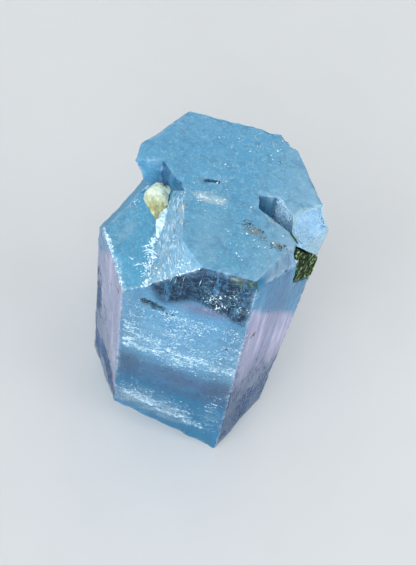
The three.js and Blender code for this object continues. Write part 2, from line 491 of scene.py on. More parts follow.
def crystal_colours(points, tags):
    """Colour of every face corner, from bands and zones written as functions of the place
    on its face, some of them painted reflection and light, and the milkiness of the clear faces and the
    mask of the painted dark reflection on the front."""
    x, y, z = points.T
    flat = together(x, z)
    paint = {name: linear(value) for name, value in BODY.items()}
    colour = np.tile(paint["clear"], (len(points), 1))

    def on(*names):
        """1 at the points of these faces."""
        return np.isin(tags, [FACE_NAMES.index(name) for name in names]).astype(float)

    def lay(name, amount):
        """Lays a paint over the colour."""
        colour[:] += (paint[name] - colour) * np.clip(amount, 0, 1)[:, None]

    wave = layers(points * (1, 1, 2.2), 6.0, 41)
    fine = layers(points * (0.5, 0.5, 2.5), 1.6, 47)
    lace = layers(points * (1.0, 1.0, 1.6), 1.1, 49)
    drift = z + 0.10 * x + 1.6 * wave

    front = on("front")
    band = smooth(31, 26.5, drift) * smooth(16, 24, drift)
    lay("low", front * smooth(31, 20, drift))
    lay("dusk", front * 0.8 * band * (0.9 + 0.4 * fine))
    lay("rosy", front * 0.85 * spot(flat, (3.0, 50.0), (4.5, 1.4)))
    # Dark zone under the top edge of the front: the navy laid here is a painted dark reflection, ragged
    # at its edge.
    line = 50.9 - 0.015 * (x - 2) ** 2 + 0.7 * np.sin(0.55 * x + 0.6)
    line += 1.0 * wave - 1.4 * smooth(6, 10, x)
    dark = smooth(line - 0.9, line + 0.8, z) * smooth(-9.6, -6.6, x + 0.5 * (z - 55))
    dark *= 1 - 0.85 * smooth(9.7, 10.6, x)
    ragged = smooth(-0.55, -0.1, lace + 0.25 * fine + 0.25 * np.sin(2.4 * x + 0.3 * z))
    lay("navy", front * dark * (0.85 + 0.15 * ragged))
    # Grey-blue along the top edge, part of the painted dark reflection.
    lay("dusk", front * 0.45 * smooth(60.0, 61.6, z) * smooth(-2, 2, x))
    patch = spot(flat, (-7.0, 48.2), (2.5, 1.2)) + 0.8 * spot(flat, (-4.4, 47.2), (1.1, 0.8))
    lay("navy", front * 0.5 * smooth(0.45, 0.85, patch + 0.4 * lace))
    glow = spot(flat, (8.9, 60.6), (3.2, 1.3))
    lay("olive", front * 0.95 * smooth(0.25, 0.7, glow + 0.1 * lace))
    # Cream spot in the olive patch: a painted highlight.
    lay("straw", front * 0.7 * smooth(0.3, 0.8, spot(flat, (6.6, 61.2), (1.0, 0.45))))

    along = points @ RIGHT_WAY
    right = on("right", "bevel")
    # Right face: blue above and lilac below a sharp edge, partly the face's own colour and partly
    # painted reflection.
    lay("side_blue", right)
    lay("lilac", right * smooth(-1.3, 1.3, 44.2 - 1.044 * along + 0.7 * wave - z))
    lay("slate", right * smooth(38, 10, z + 0.4 * along))
    lay("haze", on("bevel") * 0.6 * smooth(-8.5, -5, along))
    lay("navy", right * 0.35 * smooth(57.5, 60, z) * smooth(-7, -8.5, along))

    along = points @ LEFT_WAY
    left = on("left")
    # Left face: the same blue and lilac zones, partly own colour and partly painted reflection.
    rose = smooth(-0.8, 0.8, 49.2 + 1.12 * along + 0.7 * wave - z)
    lay("side_blue", left)
    lay("lilac", left * rose * 0.85)
    lay("dusk", left * rose * 0.25)
    lay("slate", left * 0.9 * smooth(34, 14, z + 1.2 * along))

    top = on("top")
    lay("top", top)
    broad = smooth(-0.1, 0.7, layers(points, 7.0, 59))
    lay("haze", top * (0.2 * broad + 0.34 * smooth(4, 15, x)))
    streak = spot(points, (-0.7, -2.2, TOP), (2.9, 1.25, 3.0))
    lay("haze", top * 0.8 * smooth(0.1, 0.75, streak + 0.4 * lace * streak))
    speckled = spot(points, (7.7, -6.7, TOP), (2.0, 1.2, 3.0))
    speckled += spot(points, (12.4, -8.7, TOP), (1.8, 0.9, 3.0))
    lay("tan", top * 0.7 * smooth(0.3, 1.0, speckled + 0.4 * lace))

    ledge = on("ledge", "roll")
    lay("ledge", ledge)
    cloud = spot(points, (-14.6, -5.2, 50.6), (2.2, 3.4, 4.0))
    lay("haze", ledge * 0.35 * smooth(0.25, 1.1, cloud + 0.6 * wave + 0.5 * lace))
    lay("wall", on("wall_front", "lobe_end"))
    # Pit walls and floor: pale frost, painted paler still against the shade in the pit, so partly
    # painted light.
    lay("white", on("pit_right", "pit_floor", "pit_end"))
    lay("stripe", on("wall_striped"))
    lay("navy", on("pit_back", "pit_left") * 0.45)
    lay("broken", on("crushed", "crushed_corner", "shell", "foot_left", "foot_right"))
    stain = spot(points, (-5.4, -5.0, 61.4), (0.7, 1.3, 1.2))
    lay("straw", on("crushed", "top") * 0.8 * smooth(0.3, 0.8, stain + 0.2 * lace))
    chip = on("shell") * (z > 55) * (x > 10) * (y < 8)
    lay("chip", (chip + on("corner")) * 0.95)
    lay("navy", on("slit") * 0.75)

    milk = front * milkiness(x, z, drift) * (1 - dark)
    behind = on("back", "back_left", "back_right")
    milk += 0.5 * behind * milkiness(x - y, z, drift - 3.0)
    return colour, milk, front * dark


# Material of each face: 0 clear, 1 cloudy, 3 broken; the others are frosted.
FROSTED = 2
FINISH_FACES = {
    0: "front back back_left back_right slit",
    1: "right left bevel wall_striped pit_back",
    3: "crushed crushed_corner shell foot_left foot_right pit_right pit_end pit_floor corner sole",
}
FINISH = {name: finish for finish, names in FINISH_FACES.items() for name in names.split()}


def milky_streaks(tree, shade, height, level):
    """Milk in level bands, upright streaks, and light bars and threads in the zone of painted dark
    reflection.
    """
    milk, painted_reflection = attribute(tree, "milk"), attribute(tree, "painted_reflection")
    foam = speckle(tree, stretched(tree, (260, 260, 640), (0.0, 0.1, 0.0)), 1.0, 7.0, 0.72)
    lace = speckle(tree, stretched(tree, (1000, 1000, 2100), (0.0, 0.1, 0.0)), 1.0, 5.0, 0.8)
    soft = times(tree, milk, ranged(tree, height, 0.34, 0.62, 0.0, level))
    bubbles = ranged(tree, foam, 0.43, 0.57, 0.0, 1.0)
    crisp = times(tree, bubbles, ranged(tree, lace, 0.42, 0.58, 0.2, 1.0))
    shade = mixed(tree, soft, shade, screen4(170, 216, 250))
    shade = mixed(tree, times(tree, milk, times(tree, crisp, 0.6)), shade, screen4(206, 236, 255))
    streak = speckle(tree, stretched(tree, (420, 420, 36)), 1.0, 5.0, 0.7)
    lighter, darker = (1.35, 1.25, 1.12, 1.0), (0.6, 0.72, 0.85, 1.0)
    shade = mixed(tree, ranged(tree, streak, 0.5, 0.66, 0.0, 0.35), shade, lighter, "MULTIPLY")
    shade = mixed(tree, ranged(tree, streak, 0.48, 0.34, 0.0, 0.35), shade, darker, "MULTIPLY")
    bars = speckle(tree, stretched(tree, (800, 800, 120), (0.0, -0.12, 0.0)), 1.0, 4.0, 0.7)
    bars = ranged(tree, bars, 0.545, 0.59, 0.0, 0.9)
    lit = times(tree, bars, ranged(tree, foam, 0.42, 0.55, 0.3, 1.0))
    web = ranged(tree, cells(tree, stretched(tree, (900, 900, 700)), 1.0), 0.0, 0.05, 0.4, 0.0)
    thread = times(tree, web, ranged(tree, foam, 0.45, 0.55, 0.0, 1.0))
    shade = mixed(tree, times(tree, painted_reflection, lit), shade, screen4(84, 148, 190))
    return mixed(tree, times(tree, painted_reflection, thread), shade, screen4(170, 210, 236))


def beryl(
    name, look, clearness, rough, bump, gloss=0.5, sheen=(1, 1, 1, 1),
    level=0, upright=0, mottle=0, cracks=0,
):
    """Blue beryl: see-through with absorption in its depth. Its marks are level streaks along
    the growth layers, upright streaks along the long axis, mottle of fine etching, or cracks,
    white lines of broken ground. Bruised edges are white."""
    material, tree = new_material(name)
    shade = attribute(tree, "colour_and_painted_light", "Color")
    height = cloud = speckle(tree, stretched(tree), 700.0, 4.0, 0.6)
    if level:
        height = speckle(tree, stretched(tree, (150, 150, 900)), 1.0, 5.0, 0.7)
        shade = milky_streaks(tree, shade, height, level)
    if upright:
        height = speckle(tree, stretched(tree, (460, 460, 42), (0.0, 0.12, 0.0)), 1.0, 5.0, 0.7)
        darker, lighter = (0.4, 0.5, 0.7, 1.0), (2.2, 2.0, 1.7, 1.0)
        shade = mixed(tree, ranged(tree, height, 0.49, 0.38, 0.0, upright), shade, darker, "MULTIPLY")
        shade = mixed(tree, ranged(tree, height, 0.52, 0.64, 0.0, upright), shade, lighter, "MULTIPLY")
    if mottle:
        height = speckle(tree, stretched(tree), 2300.0, 3.0, 0.75)
        etched = ranged(tree, height, 0.5, 0.66, 0.0, mottle * 1.5)
        shade = mixed(tree, etched, shade, screen4(190, 238, 255))
        shade = mixed(tree, ranged(tree, cloud, 0.48, 0.34, 0.0, mottle), shade, screen4(84, 150, 196))
    if cracks:
        white = screen4(236, 247, 255)
        blotch = speckle(tree, stretched(tree, (1100, 620, 620)), 1.0, 6.0, 0.78)
        shade = mixed(tree, ranged(tree, blotch, 0.5, 0.64, 0.0, cracks), shade, white)
        height = cells(tree, stretched(tree, (1, 1, 0.55)), 900.0)
        line = ranged(tree, height, 0.0, 0.045, cracks, 0.0)
        shade = mixed(tree, times(tree, line, ranged(tree, cloud, 0.42, 0.6, 0.1, 1.0)), shade, white)
    chipped = times(tree, attribute(tree, "bruise"), ranged(tree, cloud, 0.4, 0.62, 0.0, 1.6))
    shade = mixed(tree, chipped, shade, screen4(206, 236, 255))
    even = ranged(tree, cloud, 0.3, 0.7, *rough)
    finish = maths(tree, "ADD", even, times(tree, chipped, 0.4))
    relief = add(tree, "ShaderNodeBump", {"Height": height, "Strength": bump, "Distance": 0.00012})
    inputs = {"Base Color": shade, "Roughness": finish, "Normal": relief.outputs[0]}
    shader = add(tree, "ShaderNodeBsdfPrincipled", inputs)
    shader.inputs["Transmission Weight"].default_value = clearness
    shader.inputs["IOR"].default_value = BERYL_IOR
    shader.inputs["Specular IOR Level"].default_value = gloss
    shader.inputs["Specular Tint"].default_value = sheen
    depth = add(tree, "ShaderNodeVolumeAbsorption")
    depth.inputs["Color"].default_value = colour4(look.depth_colour)
    depth.inputs["Density"].default_value = look.depth_density
    tree.links.new(depth.outputs[0], surface(tree, shader).inputs["Volume"])
    return material


def beryl_finishes(look):
    """The four finishes, in the order of the slots."""
    clear_sheen, cloudy_sheen = (0.15, 0.6, 0.9, 1.0), (0.2, 0.45, 0.8, 1.0)
    return [
        beryl("clear_beryl", look, look.clearness, (0.12, 0.32), 0.1, 0.3, clear_sheen, level=0.6),
        beryl("cloudy_beryl", look, 0.5, (0.08, 0.26), 0.07, 0.2, cloudy_sheen, upright=0.75),
        beryl("frosted_beryl", look, 0.5, (0.42, 0.7), 0.4, mottle=0.45),
        beryl("broken_beryl", look, 0.5, (0.35, 0.7), 0.4, cracks=0.5),
    ]


# Small bodies: flakes, needles, crumbs and stains


def scattered(shape, faces, places, axes, sizes):
    """Copies of one closed shape: point = place + size_k * shape_k along each copy's own axes."""
    points = np.einsum("vk,nk,nkd->nvd", shape, sizes, axes) + places[:, None, :]
    step = np.arange(len(places))[:, None, None] * len(shape)
    return points.reshape(-1, 3), (np.asarray(faces)[None] + step).reshape(-1, 3)


def double_cone(sides):
    """Closed shape with a rim of sides and a point above and below."""
    turn = np.arange(sides) * 2 * math.pi / sides
    rim = np.stack([np.cos(turn), np.sin(turn), np.zeros(sides)], axis=1)
    points = np.concatenate([rim, [[0, 0, 1], [0, 0, -1]]])
    k = np.arange(sides)
    after = (k + 1) % sides
    upper = np.stack([k, after, np.full(sides, sides)], axis=1)
    lower = np.stack([after, k, np.full(sides, sides + 1)], axis=1)
    return points, np.concatenate([upper, lower])


def frames_about(normals, turns):
    """Three axes for each copy, the last along its normal, turned about it."""
    n = normals / np.linalg.norm(normals, axis=1, keepdims=True)
    help_axis = np.where(np.abs(n[:, 2:3]) < 0.9, [[0, 0, 1.0]], [[1.0, 0, 0]])
    u = np.cross(help_axis, n)
    u /= np.linalg.norm(u, axis=1, keepdims=True)
    v = np.cross(n, u)
    c, s = np.cos(turns)[:, None], np.sin(turns)[:, None]
    return np.stack([u * c + v * s, v * c - u * s, n], axis=1)


def ring_faces(count, around):
    """Triangles between rings of points, one after the other."""
    r, c = np.meshgrid(np.arange(count - 1), np.arange(around), indexing="ij")
    a = (r * around + c).ravel()
    b = (r * around + (c + 1) % around).ravel()
    return np.concatenate([together(a, a + around, b), together(b, a + around, b + around)])


def flakes(sides, places, facing, turns, sizes):
    """Double cones whose points lie along the facing direction, turned about it."""
    return scattered(*double_cone(sides), places, frames_about(facing, turns), sizes)


def any_turn(random, n):
    """Random turns, a full round."""
    return random.uniform(0, 6.28, n)


def strewn(random, start, end, spread, n):
    """Random places along a line, with a spread to its sides."""
    t = random.uniform(0, 1, n)[:, None]
    return between(start, end, t) + random.normal(0, spread, (n, 2))


def on_face(random, name, start, end, low, high, n):
    """Random places on an upright face, between two ends and two heights."""
    level = between(start, end, random.uniform(0, 1, n)[:, None])
    return pressed(name, np.concatenate([level, random.uniform(low, high, (n, 1))], axis=1))


def behind_front(x, z, depth):
    """Places a given depth behind the front face."""
    normal, offset = plane_of("front")
    return together(x, (offset - normal[2] * z) / normal[1] + depth, z)


def front_rim(x):
    """Height of the upper edge of the front face."""
    return TOP - 1.15 * np.maximum(0, 0.6 - x)


def milkiness(x, z, drift):
    """How milky the front face is: soft bands of height that tilt and wander a little, and four
    soft patches."""
    bands = [(45.5, 2.0, 0.35), (39.5, 3.6, 0.5), (33.0, 2.4, 1.0)]
    milk = sum(strength * np.exp(-(((drift - mid) / half) ** 2)) for mid, half, strength in bands)
    milk = milk * (1 - 0.5 * smooth(3, 9, x) * smooth(34, 36, z))
    patches = [
        ((-7, 13.4), (5.0, 3.0), 2.6),
        ((-1, 10.8), (3.6, 2.2), 2.6),
        ((3, 7.6), (4.0, 0.9), 1.0),
        ((8.5, 14), (1.6, 5), 0.35),
    ]
    flat = together(x, drift - 0.1 * x)
    return milk + sum(strength * spot(flat, middle, half) for middle, half, strength in patches)


def veil_flakes(random):
    """Thin flakes at the front face that gather into lace: kept where the milky bands and a
    ridged noise drawn out level are both strong."""
    n = 170000
    x = random.uniform(-11.9, 11.6, n)
    z = random.uniform(2.0, 48.5, n)
    wave = layers(together(x, -17.0, z) * (1, 1, 2.2), 6.0, 41)
    milk = milkiness(x, z, z + 0.10 * x + 1.6 * wave)
    level = together(x * 0.5 + 0.1 * z, 5.0, z * 1.3)
    thread = smooth(0.34, 0.0, np.abs(layers(level, 1.9, 97, 4)))
    clump = smooth(-0.7, 0.3, layers(level, 4.5, 99, 3))
    keep = random.uniform(0, 1, n) < 0.5 * milk * (0.06 + thread * clump)
    keep &= (np.abs(x) < 11.35 - 0.02 * (TOP - z)) & (z > 5.5 - 0.5 * (x - 8))
    n = keep.sum()
    places = behind_front(x[keep], z[keep], random.exponential(0.015, n))
    facing = random.normal(0, 0.12, (n, 3)) + [0, -1, 0.15]
    size = random.gamma(1.6, 0.022, n) + 0.022
    sizes = together(size * random.uniform(1.4, 3.8, n), size * 0.9, 0.04)
    return flakes(4, places, facing, random.normal(0, 0.3, n), sizes)


def needle_bodies(random):
    """Hair-thin straight needles crossing in the dark zone under the front top edge, and upright
    bars at its left (place across, height and half length)."""
    n = 640
    x = random.uniform(-3.0, 10.4, n)
    z = random.uniform(48.8, 61.2, n)
    lean = random.choice([-0.55, 0.05, 0.1, 0.95, 1.45], n) + random.normal(0, 0.12, n)
    along = together(np.sin(lean), FRONT_LEAN * np.cos(lean), np.cos(lean))
    half = random.uniform(0.2, 0.8, n) * (0.7 + 0.6 * (x > 2))
    thick = layers(together(x, z, 3.0), 3.0, 101) + 0.25 * (x > 3)
    keep = (z < front_rim(x) - 0.5 - half * np.cos(lean)) & (z > 50 - 0.1 * x)
    keep &= thick > random.uniform(-0.5, 0.5, n)
    places = behind_front(x[keep], z[keep], random.uniform(-0.005, 0.01, keep.sum()))
    bars = [
        (-7.3, 55.4, 1.0),
        (-6.5, 56.0, 1.3),
        (-5.8, 56.6, 1.6),
        (-4.7, 56.8, 1.7),
        (-3.6, 57.2, 2.0),
        (-2.9, 56.4, 1.6),
        (-1.6, 57.6, 1.6),
        (1.2, 57.8, 1.3),
    ]
    x, z, tall = np.array(bars).T
    places = np.concatenate([places, behind_front(x, z, -0.02)])
    along = np.concatenate([along[keep], np.tile([0.1, FRONT_LEAN, 1.0], (len(bars), 1))])
    bar_sizes = together(0.16, 0.09 + 0.04 * np.sin(5 * x), tall)
    sizes = np.concatenate([together(0.016, 0.016, half[keep]), bar_sizes])
    return flakes(5, places, along, np.zeros(len(places)), sizes)


def glint_bodies(random):
    """Small bright flakes bunched in the dark zone."""
    n = 150
    left = [(3.7, 54.5), (3.4, 53.4), (5.4, 53.0), (4.6, 55.6), (5.0, 51.6)]
    middles = left + [(7.0, 56.4), (8.6, 53.0)]
    pick = random.integers(0, len(middles), n)
    x, z = (np.array(middles)[pick] + random.normal(0, 1, (n, 2)) * (0.7, 0.8)).T
    places = behind_front(x, z, random.exponential(0.02, n))
    facing = random.normal(0, 0.25, (n, 3)) + [0, -1, 0.3]
    size = random.gamma(1.1, 0.06, n) + 0.02
    sizes = together(size * random.uniform(1, 2.2, n), size * 0.6, 0.05)
    return flakes(6, places, facing, any_turn(random, n), sizes)


def on_break(places):
    """Drops places onto the broken corner: the highest of its floor and two slopes, and tells
    which of them lie inside the crystal's outline and before the walls."""
    planes = [plane_of(name) for name in ("ledge", "crushed", "crushed_corner")]
    floor, first, second = [(offset - places @ normal[:2]) / normal[2] for normal, offset in planes]
    slope = np.minimum(first, second)
    z = np.minimum(np.maximum(floor, slope), TOP)
    which = np.where(floor >= slope, 0, np.where(first < second, 1, 2))
    placed = together(*places.T, z)
    inside = z < TOP - 0.02
    for name in ("front", "left", "back_left", "roll"):
        inside &= height_over(name, placed) < -0.02
    for name in ("wall_front", "wall_striped"):
        inside &= height_over(name, placed) > 0.15
    placed[:, 2] += (which == 0) * ledge_bulge(placed)
    return placed, np.array([normal for normal, _ in planes])[which], inside


def crumb_bodies(random):
    """Crushed white crumbs on the broken corner. Each strip is a line of places with a sideways
    spread, dropped onto the break."""
    strips = [
        ((-8.6, -6.5), (-8.7, -10.0), 0.35, 120, 0.14),
        ((-8.6, -11.0), (-7.2, -16.4), 0.75, 520, 0.14),
        ((-6.6, -7.0), (-4.4, -14.5), 0.8, 160, 0.09),
        ((-8.4, -16.8), (0.6, -17.05), 0.14, 420, 0.12),
        ((-7.6, -16.2), (-1.2, -15.8), 0.5, 300, 0.13),
        ((-11.5, -16.4), (-19.2, -3.2), 0.26, 900, 0.10),
        ((-11.5, -16.6), (-8.2, -16.8), 0.22, 300, 0.10),
        ((-13.4, 1.2), (-16.5, 0.6), 0.7, 60, 0.09),
    ]
    places = []
    sizes = []
    for start, end, spread, n, size in strips:
        places.append(strewn(random, start, end, spread, n))
        sizes.append(size * (0.3 + random.gamma(2.0, 0.35, n)))
    placed, normals, inside = on_break(np.concatenate(places))
    keep = inside & (layers(placed, 1.6, 103) > random.uniform(-0.4, 0.4, len(placed)))
    placed, normals, size = placed[keep], normals[keep], np.concatenate(sizes)[keep]
    n = len(placed)
    sizes = together(size, size * random.uniform(0.5, 1, n), size * random.uniform(0.4, 0.9, n))
    facing = normals + random.normal(0, 0.6, (n, 3))
    return flakes(5, placed, facing, any_turn(random, n), sizes)


def splinter_bodies(random):
    """Thin white splinters lying on the crushed slope, most of them along it."""
    n = 300
    t = random.uniform(0, 1, n)[:, None]
    across = random.beta(1.6, 1.3, n)
    path = between(together(-8.4 + 3.0 * across, -1.0), together(-7.6 + 5.6 * across, -16.6), t)
    placed, normals, inside = on_break(path)
    along = together(0.16 + random.normal(0, 0.22, n), -1.0, random.normal(-0.1, 0.1, n))
    along -= normals * (along * normals).sum(axis=1, keepdims=True)
    room = np.maximum(placed[:, 1] + 16.9, 0.1)
    half = np.minimum(random.gamma(2.0, 0.3, n) + 0.15, room)
    sizes = together(random.uniform(0.02, 0.05, n), 0.04, half)
    return flakes(4, placed[inside], along[inside], np.zeros(inside.sum()), sizes[inside])


def crack_bodies(random):
    """Curved white cracks on the ledge: tubes along arcs (start, bend, end and radius), thin at
    both ends."""
    arcs = [
        ((-10.2, -9.9), (-8.6, -9.0), (-7.0, -11.8), 0.17),
        ((-9.7, -10.4), (-8.5, -9.6), (-7.3, -11.9), 0.10),
        ((-10.6, -9.0), (-9.6, -8.5), (-8.7, -9.0), 0.09),
        ((-11.0, -12.6), (-10.2, -12.0), (-9.6, -12.4), 0.09),
        ((-12.2, -10.6), (-11.6, -11.4), (-11.2, -11.0), 0.06),
    ]
    sides, steps = 6, 15
    points = []
    faces = []
    t = np.linspace(0, 1, steps)[:, None]
    turn = (np.arange(sides) * 2 * math.pi / sides)[None, :, None]
    last, fan = (steps - 1) * sides, np.arange(1, sides - 1)
    ends = [together(0, fan + 1, fan), together(last, last + fan, last + fan + 1)]
    tube = np.concatenate([ring_faces(steps, sides)[:, ::-1], *ends])
    for k, (start, bend, end, radius) in enumerate(arcs):
        path = between(between(start, bend, t), between(bend, end, t), t)
        path += random.normal(0, 0.03, path.shape)
        spine, normals, _ = on_break(path)
        ahead = np.gradient(spine, axis=0)
        ahead /= np.linalg.norm(ahead, axis=1, keepdims=True)
        aside = np.cross(normals, ahead)
        reach = radius * (0.1 + np.sin(math.pi * t)) * (1 + 0.25 * random.normal(0, 1, t.shape))
        ring = aside[:, None] * np.cos(turn) + normals[:, None] * np.sin(turn)
        points.append((spine[:, None] + ring * reach[:, None]).reshape(-1, 3))
        faces.append(tube + k * len(points[0]))
    return np.concatenate(points), np.concatenate(faces)


def top_glints(random):
    """Fine bright flakes lying in the etched top face, thick along one short streak."""
    dense, sparse = 420, 900
    t = random.uniform(0, 1, dense)
    streak = together(-3.5 + 5.3 * t, -1.8 - 0.85 * np.sin(1.6 * t), TOP)
    streak[:, :2] += random.normal(0, 0.5, (dense, 2))
    wide = together(random.uniform(-16, 19, sparse), random.uniform(-17, 17, sparse), TOP)
    places = np.concatenate([streak, wide])
    x, y, _ = places.T
    walls = [height_over(name, places) < -0.4 for name in ("wall_striped", "wall_front")]
    inside = (walls[0] | walls[1]) & (np.hypot(x - CHIP_BALL[0], y - CHIP_BALL[1]) > 6.2)
    inside &= (x < 6.5) | (x > 17) | (y > 2.4) | (y < -6)
    for name in "front right back_right back back_left left crushed crushed_corner".split():
        inside &= height_over(name, places) < -0.6
    places = places[inside]
    n = len(places)
    facing = random.normal(0, 0.35, (n, 3)) + [0, 0, 1]
    size = 0.03 + random.gamma(1.6, 0.045, n)
    return flakes(5, places, facing, any_turn(random, n), together(size, size * 0.7, 0.05))


def speck_bodies(random):
    """Dark specks in two short streaks and a corner of the top face."""
    lines = [
        ((5.7, -5.4), (9.7, -7.8), 0.5, 420),
        ((10.6, -8.3), (13.4, -9.2), 0.5, 110),
        ((9.0, 10.7), (10.2, 8.6), 0.5, 60),
    ]
    places = together(*np.concatenate([strewn(random, *line) for line in lines]).T, TOP)
    n = len(places)
    size = 0.03 + random.gamma(2.0, 0.028, n)
    sizes = together(size, size * random.uniform(0.4, 0.9, n), 0.05)
    facing = random.normal(0, 0.2, (n, 3)) + [0, 0, 1]
    return flakes(5, places, facing, any_turn(random, n), sizes)


def shadow_bodies(random):
    """Dark flakes in a slanting patch near the upper left of the front face, two strays, and
    dark plates in the dark zone where noise allows, which deepen its painted dark reflection."""
    patch = [(-7.8, 48.5), (-7.0, 48.3), (-6.2, 48.0), (-5.3, 47.7), (-4.6, 47.4), (-6.0, 47.2)]
    strays = [(-3.7, 45.6), (-2.6, 46.2)]
    pick = np.concatenate([random.integers(0, 6, 150), random.integers(6, 8, 16)])
    n = len(pick)
    x, z = (np.array(patch + strays)[pick] + random.normal(0, 1, (n, 2)) * (0.34, 0.36)).T
    places = behind_front(x, z, random.exponential(0.01, n))
    facing = random.normal(0, 0.1, (n, 3)) + [0, -1, 0]
    size = random.gamma(2.0, 0.045, n) + 0.05
    sizes = together(size * 1.5, size, 0.04)
    turns = any_turn(random, n)

    # Dark plates that deepen the painted dark reflection under the front's top edge.
    n = 900
    x, z = random.uniform(-7.4, 9.3, n), random.uniform(51.6, 60.8, n)
    thick = layers(together(x, z, 7.0), 2.6, 107)
    free = (thick > random.uniform(-0.1, 0.25, n)) & (z < front_rim(x) - 1.3)
    plates = behind_front(x[free], z[free], 0.0)
    long = random.uniform(0.2, 0.5, n)[free]
    places = np.concatenate([places, plates])
    sizes = np.concatenate([sizes, together(0.45 * long, long, 0.022)])
    facing = np.concatenate([facing, np.tile([0, -1, FRONT_LEAN], (len(plates), 1))])
    turns = np.concatenate([turns, random.normal(0.1, 0.4, n)[free]])
    return flakes(6, places, facing, turns, sizes)


def frost_bodies(random):
    """Pale frosted flakes in the round chip beside the mica, on the bruised corner under it and
    on the light wall and floor of the pit, where their pale colour also lifts the pit's shade as
    painted light. Each lies flat on its face, where noise allows."""
    chip, corner, wall, floor = range(4)
    n = 16000
    x, y = random.uniform(12.5, 20.2, n), random.uniform(-8.0, 4.0, n)
    drop = CHIP_RADIUS**2 - (x - CHIP_BALL[0]) ** 2 - (y - CHIP_BALL[1]) ** 2
    bowl = together(x, y, CHIP_BALL[2] - np.sqrt(np.maximum(drop, 0)))
    places = [bowl[drop > 0]]
    places.append(on_face(random, "right", (15.7, -8.1), (20.1, -0.5), 50.0, TOP, 900))
    # On the pit's wall and floor the pale flakes are partly painted light, lifting its shade.
    places.append(on_face(random, "pit_right", (10.2, 1.83), (13.75, -1.39), 57.0, TOP, 700))
    normal, offset = plane_of("pit_floor")
    x, y = random.uniform(7.2, 13.7, 700), random.uniform(-6.0, 1.8, 700)
    places.append(together(x, y, (offset - normal[0] * x - normal[1] * y) / normal[2]))
    face = np.repeat(np.arange(4), [len(part) for part in places])
    places = np.concatenate(places)
    others = [plane_of(name)[0] for name in ("right", "pit_right", "pit_floor")]
    facing = np.stack([normal, *others])[face]
    facing[face == chip] = CHIP_BALL - places[face == chip]

    keep = places[:, 2] < TOP - np.where(face == chip, 0.3, 0.2)
    keep &= (face == chip) | (np.linalg.norm(places - CHIP_BALL, axis=1) > CHIP_RADIUS + 0.2)
    for name, faces in (("right", [chip]), ("back_right", [chip, corner])):
        keep &= ~np.isin(face, faces) | (height_over(name, places) < -0.4)
    pit = [wall, floor]
    sides = (("pit_floor", [wall]), ("pit_end", pit), ("pit_back", pit), ("pit_right", [floor]))
    for name, faces in sides:
        keep &= ~np.isin(face, faces) | (height_over(name, places) > 0.05)
    keep &= (face != corner) | (places[:, 2] > 64.6 - 1.37 * (places @ RIGHT_WAY))
    keep &= layers(places, 2.0, 127) > random.uniform(-0.7, 0.2, len(places))
    places, facing, fine = places[keep], facing[keep], face[keep] == chip
    n = len(places)
    facing = facing / np.linalg.norm(facing, axis=1, keepdims=True) + random.normal(0, 0.05, (n, 3))
    size = np.where(fine, 0.025, 0.06) + random.gamma(2.0, 0.045, n) * np.where(fine, 0.3, 1.0)
    sizes = together(size * random.uniform(1, 1.7, n), size, np.where(fine, 0.2, 0.03))
    return flakes(4, places, facing, any_turn(random, n), sizes)


def streak_bodies(random):
    """Dark upright streaks in the lower ends of the two slanting faces: flat flakes on the face,
    drawn out along the prism, kept where the dusk of the face and a drawn-out noise allow."""
    places = []
    facing = []
    for name, start, end, slant, n in (
        ("left", (-12.2, -16.5), (-20.1, -2.6), (0.6, -1.04, 0), 4200),
        ("right", (12.2, -16.5), (20.1, -2.4), (0.2, 0.35, 0), 2200),
    ):
        flat = on_face(random, name, start, end, 4.0, 46.0, n)
        dusk = smooth(31, 11, flat[:, 2] + flat @ slant)
        bunch = 0.7 + 0.4 * layers(flat * (1, 1, 0.16), 1.5, 131)
        keep = dusk * bunch > random.uniform(0, 0.9, n)
        for other in ("front", "back_left", "back_right"):
            keep &= height_over(other, flat) < -0.4
        for other in ("foot_left", "foot_right"):
            keep &= height_over(other, flat) < -1.6
        places.append(flat[keep])
        facing.append(np.tile(plane_of(name)[0], (keep.sum(), 1)))
    places, facing = np.concatenate(places), np.concatenate(facing)
    n = len(places)
    long = random.uniform(0.5, 1.7, n)
    sizes = together(random.uniform(0.06, 0.17, n), long, 0.025)
    return flakes(4, places, facing, random.normal(0.05, 0.06, n), sizes)


def stain_bodies(random):
    """Rusty flecks set in the prism faces."""
    spots = [
        ((0.4, -16.46, 41.6), "front", 0.20),
        ((8.2, -16.38, 39.6), "front", 0.32),
        ((-5.6, -16.5, 44.4), "front", 0.10),
        ((12.15, -14.1, 43.1), "right", 0.55),
        ((13.6, -11.6, 47.6), "right", 0.30),
        ((-12.9, -14.6, 46.2), "left", 0.40),
        ((-15.2, -10.6, 42.0), "left", 0.20),
        ((-3.4, -8.4, TOP), "top", 0.10),
    ]
    places = []
    normals = []
    sizes = []
    each = 10
    for place, face, size in spots:
        places.append(pressed(face, np.array(place) + random.normal(0, size * 0.5, (each, 3))))
        normals.append(np.tile(plane_of(face)[0], (each, 1)))
        sizes.append(size * random.uniform(0.3, 0.8, each))
    places, normals, size = np.concatenate(places), np.concatenate(normals), np.concatenate(sizes)
    n = len(places)
    facing = normals + random.normal(0, 0.15, (n, 3))
    sizes = together(size, size * random.uniform(0.4, 0.9, n), 0.06)
    return flakes(6, places, facing, any_turn(random, n), sizes)


